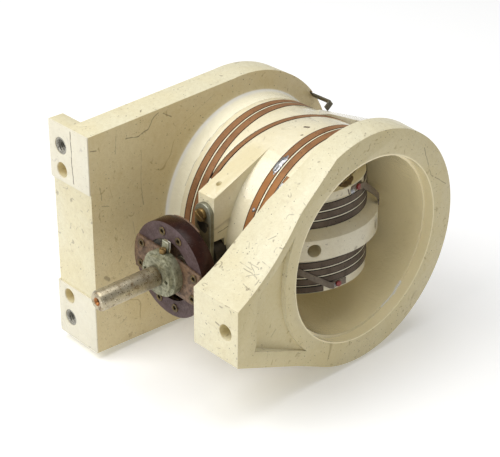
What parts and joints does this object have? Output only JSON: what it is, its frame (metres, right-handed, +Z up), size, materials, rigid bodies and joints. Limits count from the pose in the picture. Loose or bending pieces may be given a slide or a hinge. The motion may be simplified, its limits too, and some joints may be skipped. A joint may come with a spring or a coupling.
{
  "type": "ball variometer",
  "caption": "Variable inductor: a wound ceramic ball turns on a shaft inside a wound ceramic barrel between two mounting plates, driven through an insulated coupling.",
  "frame": {"origin": "centre of the underside of the bounding box", "axes": "+X along the fixed coil's axis, from the lugged mounting plate to the ring plate; +Y along the turning shaft, from its drive end at the front to the back; +Z up"},
  "size_m": [0.123, 0.188, 0.127],
  "materials": {
    "ceramic": "cream glazed ceramic with dark specks",
    "ball_ceramic": "unglazed cream ceramic, greyed",
    "copper_ribbon": "tarnished copper ribbon",
    "dark_ribbon": "dark lacquered copper ribbon",
    "brass_strap": "tarnished brass strip",
    "painted_screw": "brass screw with red locking paint",
    "solder": "grey solder",
    "nickelled_brass": "dulled nickel over brass",
    "brass": "aged brass",
    "bronze_spring": "rust-brown spring bronze",
    "steel": "speckled turned steel",
    "bakelite": "dark red-brown moulded insulation"
  },
  "bodies": {
    "stator": {"left_end_plate": "ceramic", "stator_barrel": "ceramic", "ring_plate": "ceramic", "lug_inserts": "steel", "left_stator_winding": "copper_ribbon", "right_stator_winding": "copper_ribbon", "stator_link_ribbon": "copper_ribbon", "stator_solder_joints": "solder", "terminal_strip": "brass_strap", "terminal_screws": "brass", "front_bearing_plate": "nickelled_brass", "rear_bearing_plate": "nickelled_brass", "front_bush": "brass", "rear_bush": "brass", "front_plate_screws": "brass", "rear_plate_screws": "brass", "front_contact_spring": "bronze_spring", "rear_contact_spring": "bronze_spring"},
    "rotor": {"ball_shell": "ball_ceramic", "upper_ball_winding": "dark_ribbon", "lower_ball_winding": "dark_ribbon", "ball_link_ribbon": "dark_ribbon", "ball_lead_strap": "brass_strap", "ball_terminal_blocks": "brass_strap", "ball_terminal_screws": "painted_screw", "front_shaft_stub": "steel", "rear_shaft_stub": "steel", "stub_nuts": "brass", "rear_hub": "nickelled_brass", "rear_hub_set_screw": "brass", "rear_leaf": "bronze_spring", "coupling_ring": "bakelite", "rear_leaf_rivets": "brass", "front_leaf": "bronze_spring", "front_leaf_rivets": "brass", "front_hub": "nickelled_brass", "hub_stop_block": "nickelled_brass", "front_hub_set_screw": "brass", "drive_shaft": "steel"}
  },
  "joints": [
    {"name": "ball_turn", "type": "hinge", "parent": "stator", "child": "rotor", "pos_m": [0.00655, 0.0305, 0.0635], "axis": [0, 1, 0], "range_deg": [-90, 90]}
  ]
}
